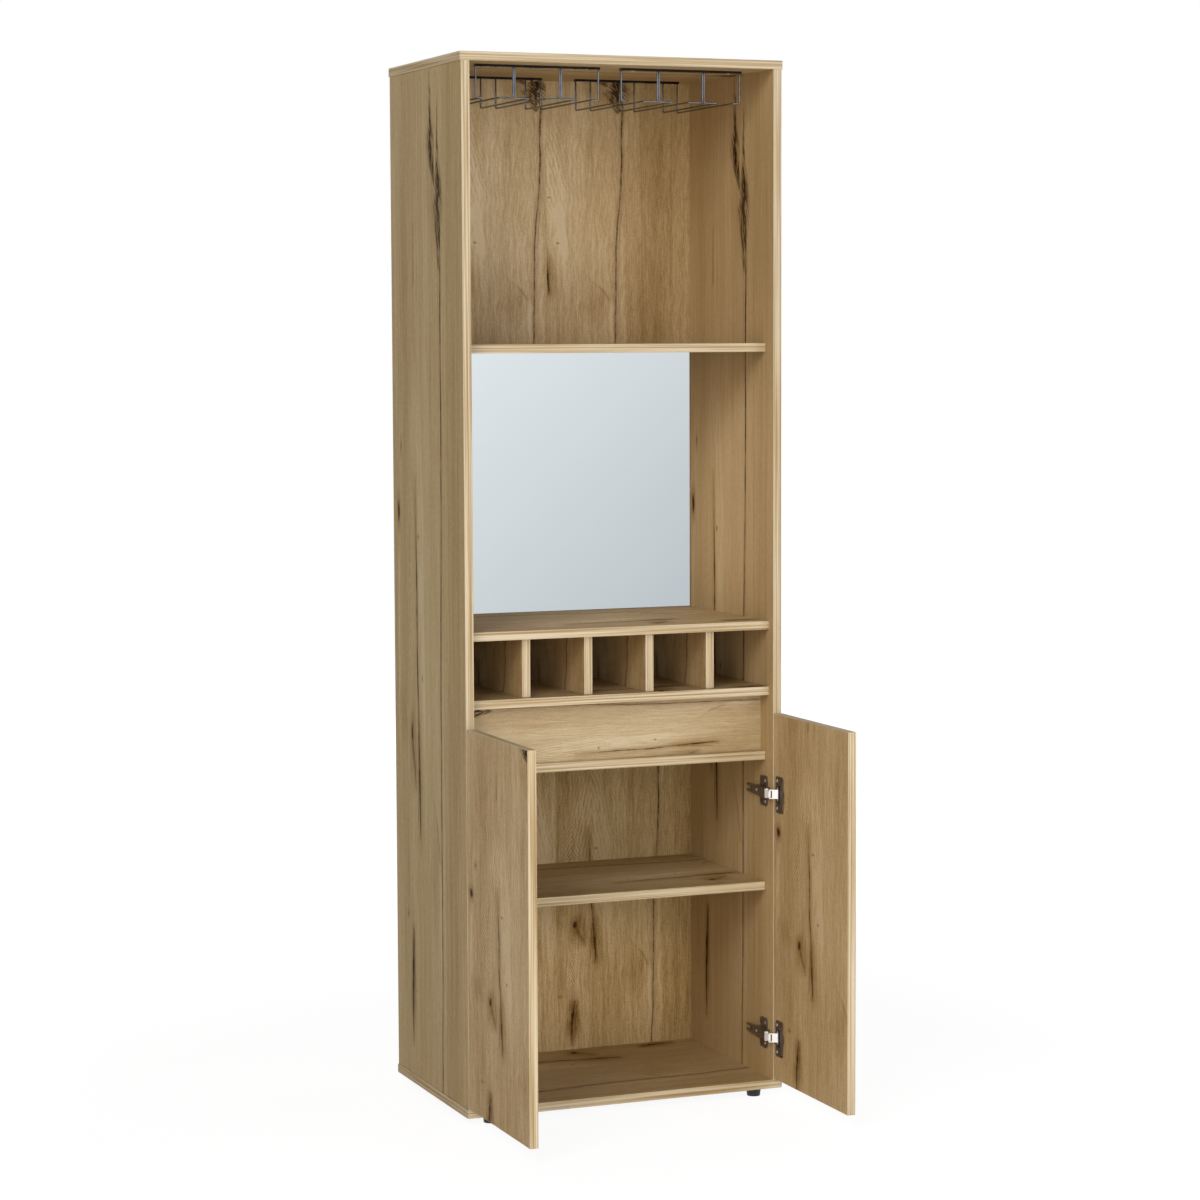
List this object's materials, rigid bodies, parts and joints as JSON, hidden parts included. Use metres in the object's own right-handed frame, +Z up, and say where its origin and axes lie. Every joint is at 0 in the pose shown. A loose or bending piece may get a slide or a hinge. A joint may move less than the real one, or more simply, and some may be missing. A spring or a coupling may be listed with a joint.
{
  "type": "bar armoire",
  "caption": "Tall oak-board bar cabinet with stemware racks, a mirrored bay over a counter, bottle cubbies and a cupboard with two doors on concealed hinges.",
  "frame": {"origin": "on the floor, in the middle of the space that the cabinet takes with its doors open", "axes": "+X to the right as seen from the front, +Y to the back, +Z up"},
  "size_m": [0.586, 0.6676, 1.8],
  "materials": {
    "oak_board": "textured oak melamine",
    "oak_hardboard": "oak-print hardboard",
    "mirror_glass": "silvered glass",
    "rack_chrome": "dark chrome plate",
    "bronzed_steel": "bronzed",
    "bright_nickel": "bright nickel",
    "zinc_steel": "zinc plate",
    "beech": "plain beech",
    "glide_plastic": "black"
  },
  "bodies": {
    "carcass": {"apron": "oak_board", "arm_pins": "zinc_steel", "bottle_divider_1": "oak_board", "bottle_divider_2": "oak_board", "bottle_divider_3": "oak_board", "bottle_divider_4": "oak_board", "bottle_floor": "oak_board", "bottom_panel": "oak_board", "cam_bolts": "zinc_steel", "cam_discs": "zinc_steel", "counter_shelf": "oak_board", "cupboard_shelf": "oak_board", "divider_dowels": "beech", "dowels": "beech", "foot_glides": "glide_plastic", "glide_nails": "zinc_steel", "left_glass_rack": "rack_chrome", "left_side": "oak_board", "loose_shelf": "oak_board", "lower_back_panel": "oak_hardboard", "lower_left_hinge_arm": "bronzed_steel", "lower_left_hinge_plate": "bronzed_steel", "lower_left_hinge_saddle": "bronzed_steel", "lower_right_hinge_arm": "bronzed_steel", "lower_right_hinge_plate": "bronzed_steel", "lower_right_hinge_saddle": "bronzed_steel", "middle_back_panel": "oak_hardboard", "mirror": "mirror_glass", "panel_screws": "zinc_steel", "plate_screws": "zinc_steel", "rack_screws": "zinc_steel", "right_glass_rack": "rack_chrome", "right_side": "oak_board", "saddle_screws": "zinc_steel", "shelf_pegs": "zinc_steel", "top_panel": "oak_board", "upper_back_panel": "oak_hardboard", "upper_left_hinge_arm": "bronzed_steel", "upper_left_hinge_plate": "bronzed_steel", "upper_left_hinge_saddle": "bronzed_steel", "upper_right_hinge_arm": "bronzed_steel", "upper_right_hinge_plate": "bronzed_steel", "upper_right_hinge_saddle": "bronzed_steel", "upper_shelf": "oak_board"},
    "left_links": {"lower_left_hinge_link": "bright_nickel", "upper_left_hinge_link": "bright_nickel"},
    "left_door": {"left_cup_pins": "zinc_steel", "left_cup_screws": "zinc_steel", "left_door": "oak_board", "lower_left_hinge_cup": "bronzed_steel", "upper_left_hinge_cup": "bronzed_steel"},
    "right_links": {"lower_right_hinge_link": "bright_nickel", "upper_right_hinge_link": "bright_nickel"},
    "right_door": {"lower_right_hinge_cup": "bronzed_steel", "right_cup_pins": "zinc_steel", "right_cup_screws": "zinc_steel", "right_door": "oak_board", "upper_right_hinge_cup": "bronzed_steel"}
  },
  "joints": [
    {"name": "left_link_turn", "type": "hinge", "parent": "carcass", "child": "left_links", "pos_m": [-0.26482, -0.04985, 0.3], "axis": [0, 0, -1], "range_deg": [-2.67, 47.2]},
    {"name": "left_door_turn", "type": "hinge", "parent": "left_links", "child": "left_door", "pos_m": [-0.2775, -0.05675, 0.3], "axis": [0, 0, -1], "range_deg": [-137.15, 7.62]},
    {"name": "right_link_turn", "type": "hinge", "parent": "carcass", "child": "right_links", "pos_m": [0.26482, -0.04985, 0.3], "axis": [0, 0, 1], "range_deg": [-2.67, 47.2]},
    {"name": "right_door_turn", "type": "hinge", "parent": "right_links", "child": "right_door", "pos_m": [0.2775, -0.05675, 0.3], "axis": [0, 0, 1], "range_deg": [-137.15, 7.62]}
  ],
  "couplings": [
    {"joint": "left_link_turn", "follows": "left_door_turn", "ratio": -0.34376},
    {"joint": "right_link_turn", "follows": "right_door_turn", "ratio": -0.34376}
  ]
}
